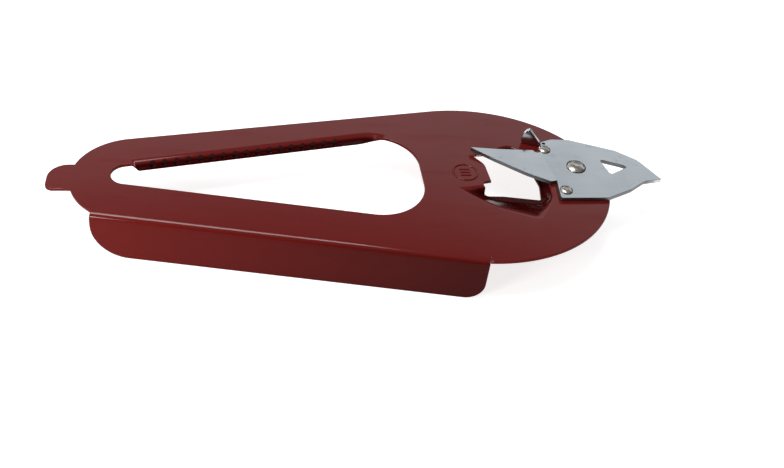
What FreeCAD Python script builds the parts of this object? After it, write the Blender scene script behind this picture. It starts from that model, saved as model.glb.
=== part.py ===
import FreeCAD, Part
import math
import os
import Sketcher
from FreeCAD import Placement, Rotation, Vector

# A lever can opener: a pressed and lacquered steel body with a riveted steel cutter plate.
# Design frame: X runs from the prying tab (x = 0) to the piercing point, Y is across, and
# z = 0 is the top face of the body's sheet. Every sub-part's Placement moves it to the
# row's frame, whose origin is the bottom centre of the whole object's box.

DIMENSIONS = [
    # the pressed body
    ("sheet_gauge", 1.1),
    ("edge_angle", 10.3),
    ("head_x", 141.7),
    ("head_half_length", 47.6),
    ("head_half_width", 41.1),
    ("tail_x", 28.0),
    ("tab_width", 12.6),
    ("tab_far_corner", 6.5),
    ("tab_near_corner", 2.5),
    # the stiffening flange
    ("fold_start_x", 15.0),
    ("fold_end_x", 138.7),
    ("fold_radius", 2.2),
    ("flange_height", 16.5),
    ("flange_tail_corner", 12.0),
    ("flange_head_corner", 6.5),
    ("flange_relief", 0.35),
    # the tear-drop jar grip, its lip and its teeth
    ("grip_near_angle", 10.4),
    ("grip_near_y", 9.5),
    ("grip_far_angle", 12.1),
    ("grip_far_y", 13.2),
    ("grip_station", 56.3),
    ("grip_end_x", 123.4),
    ("grip_small_radius", 5.0),
    ("grip_big_radius", 16.0),
    ("lip_start_x", 27.6),
    ("lip_turn", 34.0),
    ("lip_height", 3.6),
    ("lip_corner", 1.2),
    ("tooth_start_x", 34.6),
    ("tooth_pitch", 3.98),
    ("tooth_count", 17),
    ("tooth_gap_radius", 1.25),
    ("tooth_gap_drop", 1.5),
    ("tooth_gap_depth", 0.85),
    ("tooth_gap_lead", 1.0),
    # the crown-cap opening and the dish pressed round it
    ("dish_depth", 2.5),
    # the raised mark
    ("mark_height", 0.3),
    ("mark_x", 139.0),
    ("mark_y", 3.6),
    ("mark_radius", 4.6),
    ("mark_stroke", 0.7),
    ("mark_bar_x", 136.9),
    ("mark_bar_length", 4.2),
    # the cutter plate
    ("plate_gauge", 1.45),
    ("notch_x", 167.3),
    ("notch_y", 14.7),
    ("notch_radius", 1.2),
    ("blade_rise", 2.5),
    ("point_drop", 5.0),
    ("ear_turn", 160.0),
    # the rivets
    ("centre_x", 179.6),
    ("centre_y", 5.4),
    ("centre_shank", 2.4),
    ("centre_head", 3.6),
    ("centre_dome", 1.1),
    ("centre_tail", 3.3),
    ("centre_tail_height", 0.9),
    ("far_x", 170.4),
    ("far_y", 15.3),
    ("near_x", 172.4),
    ("near_y", -7.6),
    ("small_shank", 1.5),
    ("small_head", 2.3),
    ("small_dome", 0.8),
    ("small_tail", 2.1),
    ("small_tail_height", 0.6),
    # the design frame's place in the row's frame
    ("overall_length", 210.42),
    ("centre_line_y", 0.15),
]

PLACE = {
    "x": "-sizes.overall_length / 2",
    "y": "sizes.centre_line_y",
    "z": "sizes.flange_height",
}

doc = FreeCAD.newDocument("can_opener")
sheet = doc.addObject("Spreadsheet::Sheet", "sizes")
for row, (alias, value) in enumerate(DIMENSIONS, start=1):
    sheet.set(f"A{row}", alias)
    sheet.set(f"B{row}", str(value))
    sheet.setAlias(f"B{row}", alias)
doc.recompute()
size = {alias: float(sheet.get(alias)) for alias, _ in DIMENSIONS}


# ---------------------------------------------------------------- drawing helpers

def at(x, y, z=0.0):
    return Vector(x, y, z)


def turned(angle):
    """Unit vector in the XY plane at an angle in degrees from +X."""
    return at(math.cos(math.radians(angle)), math.sin(math.radians(angle)))


def crossing(p, along, q, across):
    """Point where the line through p meets the line through q."""
    span = q - p
    cross = along.x * across.y - along.y * across.x
    return p + along * ((span.x * across.y - span.y * across.x) / cross)


def rounded(corners):
    """Closed outline through corners (x, y, radius): straight sides, with an arc at each radius."""
    points = [at(x, y) for x, y, _ in corners]
    turns = []
    for i, (_, _, radius) in enumerate(corners):
        corner = points[i]
        back = (points[i - 1] - corner).normalize()
        ahead = (points[(i + 1) % len(points)] - corner).normalize()
        half = back.getAngle(ahead) / 2
        reach = radius / math.tan(half)
        middle = corner + (back + ahead).normalize() * (radius / math.sin(half) - radius)
        turns.append((corner + back * reach, middle, corner + ahead * reach))
    curves = []
    for i, (start, middle, end) in enumerate(turns):
        if turns[i - 1][2].distanceToPoint(start) > 1e-6:
            curves.append(Part.LineSegment(turns[i - 1][2], start))
        if start.distanceToPoint(end) > 1e-6:
            curves.append(Part.Arc(start, middle, end))
    return curves


def as_curve(curve):
    """A sketch takes an arc of a circle, not a three-point arc."""
    if isinstance(curve, Part.Arc):
        return curve.toShape().Curve.trim(*curve.toShape().ParameterRange)
    return curve


def origin_plane(body, role):
    return next(o for o in body.Origin.OriginFeatures if o.Role == role)


def sketch(body, name, curves, place=Placement()):
    """Sketch on the body's own XY plane, moved by place."""
    drawing = body.newObject("Sketcher::SketchObject", name)
    drawing.AttachmentSupport = (origin_plane(body, "XY_Plane"), [""])
    drawing.MapMode = "FlatFace"
    drawing.AttachmentOffset = place
    drawing.addGeometry([as_curve(curve) for curve in curves], False)
    doc.recompute()
    return drawing


def feature(body, kind, name, profile, **settings):
    made = body.newObject("PartDesign::" + kind, name)
    made.Profile = profile
    for key, value in settings.items():
        if isinstance(value, str) and value.startswith("="):
            made.setExpression(key, value[1:])
        else:
            setattr(made, key, value)
    doc.recompute()
    return made


def near_edges(shape, points, reach):
    """Names of the edges whose middle lies within reach of one of the points."""
    names = []
    for number, edge in enumerate(shape.Edges, start=1):
        middle = edge.valueAt((edge.FirstParameter + edge.LastParameter) / 2)
        if any(middle.distanceToPoint(point) < reach for point in points):
            names.append(f"Edge{number}")
    return names


def round_edges(body, name, radius, points, reach=0.5):
    base = body.Tip
    made = body.newObject("PartDesign::Fillet", name)
    made.Base = (base, near_edges(base.Shape, points, reach))
    made.setExpression("Radius", radius)
    doc.recompute()
    return made


def new_body(name):
    body = doc.addObject("PartDesign::Body", name)
    body.Label = name
    for axis, expression in PLACE.items():
        body.setExpression("Placement.Base." + axis, expression)
    return body


def upright(origin, angle):
    """Placement of a sketch that stands on end: its x runs along the angle, its y is +Z."""
    return Placement(origin, Rotation(turned(angle), at(0, 0, 1), turned(angle - 90), "XYZ"))


# ---------------------------------------------------------------- the body's outline

slope = math.tan(math.radians(size["edge_angle"]))
side_y = math.hypot(size["head_half_length"] * slope, size["head_half_width"])
head = at(size["head_x"], 0)
tail = at(size["tail_x"], 0)
fold_way = turned(-size["edge_angle"])
fold_out = turned(-size["edge_angle"] - 90)


def side(x, sign):
    """Point of the straight side at x: sign +1 on the far side, -1 on the near side."""
    return at(x, sign * (side_y + slope * (x - size["head_x"])))


tail_radius = side(size["tail_x"], 1).y * math.cos(math.radians(size["edge_angle"]))
fold_start = side(size["fold_start_x"], -1)
fold_end = side(size["fold_end_x"], -1)


def meets_tail(point):
    """Point of the tail's arc straight inward from a point of the fold line."""
    rim = point - tail
    inward = rim.dot(fold_out)
    return point - fold_out * (inward - math.sqrt(inward ** 2 - rim.Length ** 2 + tail_radius ** 2))


def head_angle(point):
    """Parameter of the head's oval at the oval's point nearest straight above or below."""
    turn = math.acos((point.x - head.x) / size["head_half_length"])
    return math.copysign(turn, point.y)


def body_outline():
    oval = Part.Ellipse(head, size["head_half_length"], size["head_half_width"])
    tangent = math.acos(-size["head_half_length"] * slope / side_y)
    near_turn = head_angle(fold_end + turned(0) * size["flange_relief"])
    near_step = oval.value(near_turn)
    far_touch = oval.value(tangent)
    inset = fold_out * -size["fold_radius"]
    tail_far = tail + turned(90 + size["edge_angle"]) * tail_radius
    tail_near = meets_tail(fold_start)
    tab_half = size["tab_width"] / 2
    root_x = tail.x - math.sqrt(tail_radius ** 2 - tab_half ** 2)
    far_root = at(root_x, tab_half)
    near_root = at(root_x, -tab_half)
    tail_arc_far = (turned(90 + size["edge_angle"]) + (far_root - tail).normalize()).normalize()
    tail_arc_near = ((near_root - tail).normalize() + (tail_near - tail).normalize()).normalize()
    far_corner, near_corner = size["tab_far_corner"], size["tab_near_corner"]
    far_middle = far_corner * (1 - math.sqrt(0.5))
    near_middle = near_corner * (1 - math.sqrt(0.5))
    return [
        Part.ArcOfEllipse(oval, near_turn, tangent),
        Part.LineSegment(far_touch, tail_far),
        Part.Arc(tail_far, tail + tail_arc_far * tail_radius, far_root),
        Part.LineSegment(far_root, at(far_corner, tab_half)),
        Part.Arc(at(far_corner, tab_half), at(far_middle, tab_half - far_middle),
                 at(0, tab_half - far_corner)),
        Part.LineSegment(at(0, tab_half - far_corner), at(0, near_corner - tab_half)),
        Part.Arc(at(0, near_corner - tab_half), at(near_middle, near_middle - tab_half),
                 at(near_corner, -tab_half)),
        Part.LineSegment(at(near_corner, -tab_half), near_root),
        Part.Arc(near_root, tail + tail_arc_near * tail_radius, tail_near),
        Part.LineSegment(tail_near, fold_start + inset),
        Part.LineSegment(fold_start + inset, fold_end + inset),
        Part.LineSegment(fold_end + inset, near_step),
    ]


def hook_section(drop):
    """Section of a bent edge: x runs outward from the bend's start, y is up."""
    outer = size["fold_radius"]
    inner = outer - size["sheet_gauge"]
    diagonal = math.sqrt(0.5)
    return [
        Part.Arc(at(0, 0), at(outer * diagonal, outer * (diagonal - 1)), at(outer, -outer)),
        Part.LineSegment(at(outer, -outer), at(outer, -drop)),
        Part.LineSegment(at(outer, -drop), at(inner, -drop)),
        Part.LineSegment(at(inner, -drop), at(inner, -outer)),
        Part.Arc(at(inner, -outer), at(inner * diagonal, inner * diagonal - outer), at(0, inner - outer)),
        Part.LineSegment(at(0, inner - outer), at(0, 0)),
    ]


# ---------------------------------------------------------------- the jar grip

grip_near_way = turned(-size["grip_near_angle"])
grip_far_way = turned(size["grip_far_angle"])
grip_near_point = at(size["grip_station"], -size["grip_near_y"])
grip_far_point = at(size["grip_station"], size["grip_far_y"])
grip_end_point = at(size["grip_end_x"], 0)
lip_out = turned(size["grip_far_angle"] + 90)


def grip_corners():
    """Corners of the grip's opening; its far side is the inner face of the toothed lip."""
    tip = crossing(grip_near_point, grip_near_way, grip_far_point, grip_far_way)
    near = crossing(grip_near_point, grip_near_way, grip_end_point, turned(90))
    far = crossing(grip_far_point, grip_far_way, grip_end_point, turned(90))
    return [
        (tip.x, tip.y, size["grip_small_radius"]),
        (near.x, near.y, size["grip_big_radius"]),
        (far.x, far.y, size["grip_big_radius"]),
    ]


def lip_path():
    """Where the lip's bend starts on the sheet: a straight run, then part of the far corner."""
    bend = size["fold_radius"]
    far = crossing(grip_far_point, grip_far_way, grip_end_point, turned(90))
    half = math.radians(90 - size["grip_far_angle"]) / 2
    touch = far - grip_far_way * (size["grip_big_radius"] / math.tan(half))
    centre = touch - lip_out * size["grip_big_radius"]
    start = crossing(grip_far_point, grip_far_way, at(size["lip_start_x"], 0), lip_out)
    radius = size["grip_big_radius"] + bend
    turn = 90 + size["grip_far_angle"]
    swing = size["lip_turn"]
    return {
        "start": start + lip_out * bend,
        "touch": touch + lip_out * bend,
        "middle": centre + turned(turn - swing / 2) * radius,
        "end": centre + turned(turn - swing) * radius,
        "end_inner": centre + turned(turn - swing) * (radius - bend - 1),
        "middle_inner": centre + turned(turn - swing / 2) * (radius - bend - 1),
        "centre": centre,
    }


def bend_pocket(path):
    """The strip of sheet that the lip's bend takes up."""
    inner = lip_out * -(size["fold_radius"] + 1)
    return [
        Part.LineSegment(path["start"], path["touch"]),
        Part.Arc(path["touch"], path["middle"], path["end"]),
        Part.LineSegment(path["end"], path["end_inner"]),
        Part.Arc(path["end_inner"], path["middle_inner"], path["touch"] + inner),
        Part.LineSegment(path["touch"] + inner, path["start"] + inner),
        Part.LineSegment(path["start"] + inner, path["start"]),
    ]


# ---------------------------------------------------------------- the crown-cap opening

# Corners (x, y, radius) of the dish where it leaves the sheet and of its floor, in the same order.
DISH_RIM = [
    (134.0, -4.6, 0.5), (146.0, -15.4, 20.0), (160.8, -22.0, 4.0), (167.6, -10.0, 7.0), (168.8, 2.0, 10.0),
    (166.8, 13.4, 7.0), (158.0, 20.2, 5.0), (147.6, 15.0, 3.0), (148.4, 5.0, 0.5), (148.0, -4.6, 0.5),
]
DISH_FLOOR = [
    (141.6, -5.2, 0.5), (148.4, -7.9, 6.0), (163.4, -10.2, 1.2), (166.0, -7.6, 2.0), (166.4, 1.5, 5.0),
    (164.8, 11.5, 5.0), (157.5, 16.2, 4.0), (149.5, 13.2, 2.0), (149.2, 4.5, 0.3), (149.0, -4.8, 0.3),
]
# Corners of the crown-cap opening; the fourth is the point of the hook that catches the cap.
CAP_OPENING = [
    (150.0, 14.4, 2.0), (143.4, 13.4, 0.8), (146.9, 8.4, 5.0), (147.4, -1.1, 0.35), (144.1, -1.6, 1.4),
    (144.8, -6.2, 1.6), (151.0, -6.3, 6.0), (164.0, -8.3, 1.0), (165.4, 0.0, 8.0), (163.6, 12.6, 4.0),
]
MARK_BARS = [5.2, 3.6, 2.0]


def bar(x, y, length, width):
    half = width / 2
    return rounded([(x, y - half, half * 0.8), (x + length, y - half, half * 0.8),
                    (x + length, y + half, half * 0.8), (x, y + half, half * 0.8)])


def level(z):
    return Placement(at(0, 0, z), Rotation())


def circle(x, y, radius):
    return Part.Circle(at(x, y), at(0, 0, 1), radius)


def rivet_holes(body):
    holes = [
        circle(size["centre_x"], size["centre_y"], size["centre_shank"]),
        circle(size["far_x"], size["far_y"], size["small_shank"]),
        circle(size["near_x"], size["near_y"], size["small_shank"]),
    ]
    drawing = sketch(body, "rivet_centres", holes)
    for number, shank in enumerate(("centre_shank", "small_shank", "small_shank")):
        drawing.addConstraint(Sketcher.Constraint("Radius", number, size[shank]))
        drawing.setExpression(f"Constraints[{number}]", "sizes." + shank)
    feature(body, "Pocket", "rivet_holes", drawing, Type="ThroughAll", Midplane=True)


def make_body_plate():
    body = new_body("body_plate")
    gauge = "=sizes.sheet_gauge"

    outline = sketch(body, "plate_outline", body_outline())
    feature(body, "Pad", "plate", outline, Length=gauge, Reversed=True)

    section = sketch(body, "flange_section", hook_section(size["flange_height"]),
                     upright(fold_start - fold_out * size["fold_radius"], -size["edge_angle"] - 90))
    run = fold_start.distanceToPoint(fold_end)
    feature(body, "Pad", "flange", section, Length=run, Reversed=True)
    foot = at(0, 0, -size["flange_height"]) - fold_out * (size["sheet_gauge"] / 2)
    round_edges(body, "flange_tail_end", "sizes.flange_tail_corner", [fold_start + foot])
    round_edges(body, "flange_head_end", "sizes.flange_head_corner", [fold_end + foot])

    grip = sketch(body, "grip_outline", rounded(grip_corners()))
    feature(body, "Pocket", "grip", grip, Type="ThroughAll", Midplane=True)
    path = lip_path()
    strip = sketch(body, "bend_strip", bend_pocket(path))
    feature(body, "Pocket", "bend_room", strip, Type="ThroughAll", Midplane=True)
    spine = sketch(body, "lip_line", [
        Part.LineSegment(path["start"], path["touch"]),
        Part.Arc(path["touch"], path["middle"], path["end"]),
    ])
    lip_section = sketch(body, "lip_section", hook_section(size["lip_height"]),
                         upright(path["start"], size["grip_far_angle"] - 90))
    lip = feature(body, "AdditivePipe", "lip", lip_section, Spine=(spine, []))
    inward = size["sheet_gauge"] / 2 - size["fold_radius"]
    heel = lip_out * inward - at(0, 0, size["lip_height"])
    toe = (path["end"] - path["centre"]).normalize() * inward
    toe = path["end"] + toe - at(0, 0, size["lip_height"])
    round_edges(body, "lip_corners", "sizes.lip_corner", [path["start"] + heel, toe])

    first = crossing(grip_far_point, grip_far_way, at(size["tooth_start_x"], 0), lip_out)
    gap = sketch(body, "tooth_gap", [circle(0, -size["tooth_gap_drop"], size["tooth_gap_radius"])],
                 upright(first - lip_out * size["tooth_gap_lead"], size["grip_far_angle"]))
    cut = feature(body, "Pocket", "first_gap", gap, Type="Length",
                  Length="=sizes.tooth_gap_lead + sizes.tooth_gap_depth")
    row = body.newObject("PartDesign::LinearPattern", "tooth_gaps")
    row.Originals = [cut]
    row.Direction = (gap, ["H_Axis"])
    row.setExpression("Length", "sizes.tooth_pitch * (sizes.tooth_count - 1)")
    row.setExpression("Occurrences", "sizes.tooth_count")
    body.Tip = row
    doc.recompute()

    rim_low = sketch(body, "dish_rim_below", rounded(DISH_RIM), level(-size["sheet_gauge"]))
    floor_low = sketch(body, "dish_floor_below", rounded(DISH_FLOOR),
                       level(-size["sheet_gauge"] - size["dish_depth"]))
    feature(body, "AdditiveLoft", "dish_metal", rim_low, Sections=[(floor_low, [""])], Ruled=True)
    rim = sketch(body, "dish_rim", rounded(DISH_RIM))
    floor = sketch(body, "dish_floor", rounded(DISH_FLOOR), level(-size["dish_depth"]))
    feature(body, "SubtractiveLoft", "dish_hollow", rim, Sections=[(floor, [""])], Ruled=True)
    opening = sketch(body, "cap_outline", rounded(CAP_OPENING))
    feature(body, "Pocket", "cap_opening", opening, Type="ThroughAll", Midplane=True)

    rivet_holes(body)

    ring = [circle(size["mark_x"], size["mark_y"], size["mark_radius"]),
            circle(size["mark_x"], size["mark_y"], size["mark_radius"] - size["mark_stroke"])]
    mark = sketch(body, "mark_ring", ring)
    feature(body, "Pad", "ring", mark, Length="=sizes.mark_height")
    bars = []
    for y in MARK_BARS:
        bars += bar(size["mark_bar_x"], y, size["mark_bar_length"], size["mark_stroke"])
    feature(body, "Pad", "bars", sketch(body, "mark_bars", bars), Length="=sizes.mark_height")
    return body


# ---------------------------------------------------------------- the cutter plate

def hinge_turn(point, angle, tilt):
    """Placement that tilts a leaf about the line through point at an angle from +X."""
    return Placement(Vector(), Rotation(turned(angle), tilt), point)


# Corners (x, y, radius) of the three flat leaves of the stamping, each running under the next.
EAR_ROOT = (170.3, 19.9)
ROOT = (168.4, 14.9)
HEEL = (170.4, -2.4)
NECK_FAR = (197.2, 15.25)
NECK_NEAR = (196.6, -6.9)
FLAT_LEAF = [
    (HEEL[0], HEEL[1], 0.0), (170.0, -5.4, 0.8), (169.4, -11.8, 0.8), (186.6, -11.6, 4.0),
    (NECK_NEAR[0], NECK_NEAR[1], 0.0), (NECK_FAR[0], NECK_FAR[1], 0.0), (181.2, 21.4, 6.0),
    (174.4, 21.6, 4.0), (EAR_ROOT[0], EAR_ROOT[1], 0.6), (ROOT[0], ROOT[1], 0.0),
]
BLADE_LEAF = [
    (ROOT[0], ROOT[1], 0.0), (152.0, 14.5, 60.0), (142.3, 14.9, 0.2), (150.6, 8.4, 30.0),
    (160.4, 1.3, 12.0), (168.2, -3.0, 0.8), (HEEL[0], HEEL[1], 0.0),
]
POINT_LEAF = [
    (NECK_NEAR[0], NECK_NEAR[1], 0.0), (203.2, -1.8, 6.0), (210.6, 0.2, 0.25), (204.6, 10.6, 4.0),
    (NECK_FAR[0], NECK_FAR[1], 0.0),
]
KEY_HOLE = [(189.6, 9.9, 0.7), (191.4, 1.3, 0.9), (199.4, 5.9, 0.7)]
# Corners of the upright ear: x runs away from the plate's corner, y is up from the body's sheet.
EAR = [
    (-1.6, 0.3, 0.0), (7.1, 0.3, 0.9), (7.4, 3.4, 4.0), (5.2, 6.8, 0.7), (0.2, 1.45, 1.5), (-1.6, 1.45, 0.0),
]


def make_cutter_plate():
    body = new_body("cutter_plate")
    gauge = "=sizes.plate_gauge"
    root, heel = at(*ROOT), at(*HEEL)
    neck_far, neck_near = at(*NECK_FAR), at(*NECK_NEAR)
    feature(body, "Pad", "flat_leaf", sketch(body, "flat_outline", rounded(FLAT_LEAF)), Length=gauge)

    crease = math.degrees(math.atan2(root.y - heel.y, root.x - heel.x))
    blade = sketch(body, "blade_outline", rounded(BLADE_LEAF),
                   hinge_turn(heel, crease, size["blade_rise"]))
    feature(body, "Pad", "blade", blade, Length=gauge)

    neck = math.degrees(math.atan2(neck_far.y - neck_near.y, neck_far.x - neck_near.x))
    top = at(neck_near.x, neck_near.y, size["plate_gauge"])
    point = sketch(body, "point_outline", rounded(POINT_LEAF),
                   hinge_turn(top, neck, size["point_drop"]))
    feature(body, "Pad", "point", point, Length=gauge)

    ear = sketch(body, "ear_outline", rounded(EAR), upright(at(*EAR_ROOT), size["ear_turn"]))
    feature(body, "Pad", "ear", ear, Length=gauge, Reversed=True)

    relief = sketch(body, "relief", [circle(size["notch_x"], size["notch_y"], size["notch_radius"])])
    feature(body, "Pocket", "relief_notch", relief, Type="ThroughAll", Midplane=True)
    key = sketch(body, "key_outline", rounded(KEY_HOLE))
    feature(body, "Pocket", "key_hole", key, Type="ThroughAll", Midplane=True)
    rivet_holes(body)
    return body


# ---------------------------------------------------------------- the rivets

def make_rivet(name, place, kind):
    """A rivet through both plates: domed head above, flat set tail below."""
    body = new_body(name)
    x, y = size[place + "_x"], size[place + "_y"]
    shank, head, dome = size[kind + "_shank"], size[kind + "_head"], size[kind + "_dome"]
    tail_head, tail_height = size[kind + "_tail"], size[kind + "_tail_height"]
    top = size["plate_gauge"]
    under = -size["sheet_gauge"]
    crown = at(0, top + dome)
    rim = at(head, top + dome * 0.2)
    mid = at(head * 0.68, top + dome * 0.8)
    points = [at(head, top), at(shank, top), at(shank, under), at(tail_head, under),
              at(tail_head * 0.85, under - tail_height), at(0, under - tail_height), crown]
    curves = [Part.Arc(crown, mid, rim), Part.LineSegment(rim, points[0])]
    curves += [Part.LineSegment(p, q) for p, q in zip(points, points[1:])]
    profile = sketch(body, name + "_profile", curves, upright(at(x, y), 0))
    turn = body.newObject("PartDesign::Revolution", name + "_turned")
    turn.Profile = profile
    turn.ReferenceAxis = (profile, ["V_Axis"])
    turn.Angle = 360
    doc.recompute()
    return body


bodies = [
    make_body_plate(),
    make_cutter_plate(),
    make_rivet("centre_rivet", "centre", "centre"),
    make_rivet("small_rivet_far", "far", "small"),
    make_rivet("small_rivet_near", "near", "small"),
]

for made in doc.Objects:
    if "Invalid" in made.State or "Error" in made.State:
        raise RuntimeError(f"{made.Name} failed: {made.State}")
for body in bodies:
    if body.Shape.isNull() or not body.Shape.isValid() or len(body.Shape.Solids) != 1:
        raise RuntimeError(f"{body.Label} is not one valid solid")

os.makedirs("parts", exist_ok=True)
for body in bodies:
    body.Shape.exportStep(f"parts/{body.Label}.step")
    box = body.Shape.BoundBox
    print(f"{body.Label}: {body.Shape.Volume:.1f} mm3, x {box.XMin:.2f}..{box.XMax:.2f}, "
          f"y {box.YMin:.2f}..{box.YMax:.2f}, z {box.ZMin:.2f}..{box.ZMax:.2f}")
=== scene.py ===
from math import acos, atan2, cos, degrees, hypot, pi, radians, sin, sqrt, tan
from types import SimpleNamespace

import bpy
from bpy.props import FloatProperty, FloatVectorProperty, IntProperty, PointerProperty
from mathutils import Matrix, Vector
from mathutils.geometry import delaunay_2d_cdt


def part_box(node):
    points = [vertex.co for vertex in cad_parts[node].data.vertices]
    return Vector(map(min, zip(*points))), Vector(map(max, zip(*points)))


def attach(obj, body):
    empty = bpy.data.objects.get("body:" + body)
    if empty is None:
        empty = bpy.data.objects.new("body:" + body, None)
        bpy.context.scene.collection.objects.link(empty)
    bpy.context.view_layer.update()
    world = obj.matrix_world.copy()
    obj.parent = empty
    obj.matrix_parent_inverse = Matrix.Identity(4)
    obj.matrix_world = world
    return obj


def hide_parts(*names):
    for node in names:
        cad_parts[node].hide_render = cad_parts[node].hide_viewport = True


bl_info = {
    "name": "Pressed-Steel Can Opener",
    "version": (1, 0, 0),
    "blender": (4, 5, 0),
    "location": "View3D > Sidebar > Can Opener",
    "description": "Builds a red lacquered lever can opener with a riveted chromed cutter plate",
    "category": "Add Mesh",
}

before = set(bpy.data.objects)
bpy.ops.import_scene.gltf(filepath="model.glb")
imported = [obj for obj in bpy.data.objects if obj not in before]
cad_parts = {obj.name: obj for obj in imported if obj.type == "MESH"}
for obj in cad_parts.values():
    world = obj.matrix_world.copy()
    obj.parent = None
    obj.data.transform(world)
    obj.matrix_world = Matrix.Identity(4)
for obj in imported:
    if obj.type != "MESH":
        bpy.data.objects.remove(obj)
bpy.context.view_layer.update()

# Plans are drawn in millimetres: x from the tab's end, y from the body's centre line, z from the
# top face of the body's sheet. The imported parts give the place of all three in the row's frame.
MM = 0.001
CENTRE_RIVET = (179.6, 5.4)
FAR_RIVET = (170.4, 15.3)
NEAR_RIVET = (172.4, -7.6)
RIVET_HOLES = ((CENTRE_RIVET, 2.4), (FAR_RIVET, 1.5), (NEAR_RIVET, 1.5))
FLANGE_HEIGHT = 16.5
BODY_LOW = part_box("body_plate")[0]
RIVET_LOW, RIVET_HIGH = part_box("centre_rivet")
TAB_END = BODY_LOW[0]
CENTRE_LINE = (RIVET_LOW[1] + RIVET_HIGH[1]) / 2 - CENTRE_RIVET[1] * MM
SHEET_TOP = BODY_LOW[2] + FLANGE_HEIGHT * MM


def row(point):
    """A plan point in the row's frame, in metres."""
    return Vector((TAB_END + point[0] * MM, CENTRE_LINE + point[1] * MM, SHEET_TOP + point[2] * MM))


# ---------------------------------------------------------------- plane geometry

def unit(angle):
    """Unit vector in plan at an angle in degrees from +X."""
    return Vector((cos(radians(angle)), sin(radians(angle))))


def ramp(value, start, end):
    """0 up to start, 1 from end, and a smooth S between."""
    part = min(1.0, max(0.0, (value - start) / (end - start)))
    return part * part * (3 - 2 * part)


def arc(centre, radius, start, end, steps):
    """Points of an arc between two angles in degrees."""
    return [centre + unit(start + (end - start) * i / steps) * radius for i in range(steps + 1)]


def crossing(p, along, q, across):
    """Point where the line through p meets the line through q."""
    span = q - p
    return p + along * (span.cross(across) / along.cross(across))


def corner_turn(before, tip, after, radius, steps=8):
    """Points of the arc that rounds the corner at tip, and the arc's centre."""
    if not radius:
        return [tip], tip
    back = (before - tip).normalized()
    ahead = (after - tip).normalized()
    half = back.angle(ahead) / 2
    reach = radius / tan(half)
    centre = tip + (back + ahead).normalized() * (radius / sin(half))
    first = tip + back * reach - centre
    last = tip + ahead * reach - centre
    sweep = atan2(first.cross(last), first.dot(last))
    return [centre + Matrix.Rotation(sweep * k / steps, 2) @ first for k in range(steps + 1)], centre


def rounded(corners, steps=8):
    """Closed polyline through corners (x, y, radius), each rounded on its radius."""
    tips = [Vector((x, y)) for x, y, _ in corners]
    points = []
    for i, (_, _, radius) in enumerate(corners):
        points += corner_turn(tips[i - 1], tips[i], tips[(i + 1) % len(tips)], radius, steps)[0]
    return points


def between(lower, upper, part):
    """Corner list part of the way from one list to another."""
    return [tuple(a + (b - a) * part for a, b in zip(p, q)) for p, q in zip(lower, upper)]


def circle(centre, radius, steps=24):
    return arc(Vector(centre), radius, 0, 360 - 360 / steps, steps - 1)


def rivet_holes():
    return [circle(centre, radius) for centre, radius in RIVET_HOLES]


def cleaned(points, gap=0.02):
    """The closed polyline, anticlockwise, without points that sit on their neighbour."""
    kept = [p for i, p in enumerate(points) if (p - points[i - 1]).length > gap]
    area = sum(kept[i - 1].cross(kept[i]) for i in range(len(kept)))
    return kept if area > 0 else kept[::-1]


def inset(points, depth):
    """The closed polyline moved into its own inside by depth, or out of it if depth is negative."""
    points = cleaned(points)
    moved = []
    for i, point in enumerate(points):
        before = (point - points[i - 1]).normalized()
        after = (points[(i + 1) % len(points)] - point).normalized()
        normal = Vector((-before.y - after.y, before.x + after.x))
        normal = normal / max(normal.length_squared / 2, 0.4)
        moved.append(point + normal * depth)
    return moved


def from_polyline(point, points):
    """Distance of a point from a closed polyline, negative inside it."""
    nearest = 1e9
    inside = False
    px, py = point
    for i in range(len(points)):
        ax, ay = points[i - 1]
        bx, by = points[i]
        dx, dy = bx - ax, by - ay
        part = ((px - ax) * dx + (py - ay) * dy) / (dx * dx + dy * dy + 1e-12)
        part = min(1.0, max(0.0, part))
        nearest = min(nearest, hypot(px - ax - part * dx, py - ay - part * dy))
        if (ay > py) != (by > py) and px < ax + (py - ay) / (by - ay) * dx:
            inside = not inside
    return -nearest if inside else nearest


# ---------------------------------------------------------------- sheet metal

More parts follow.
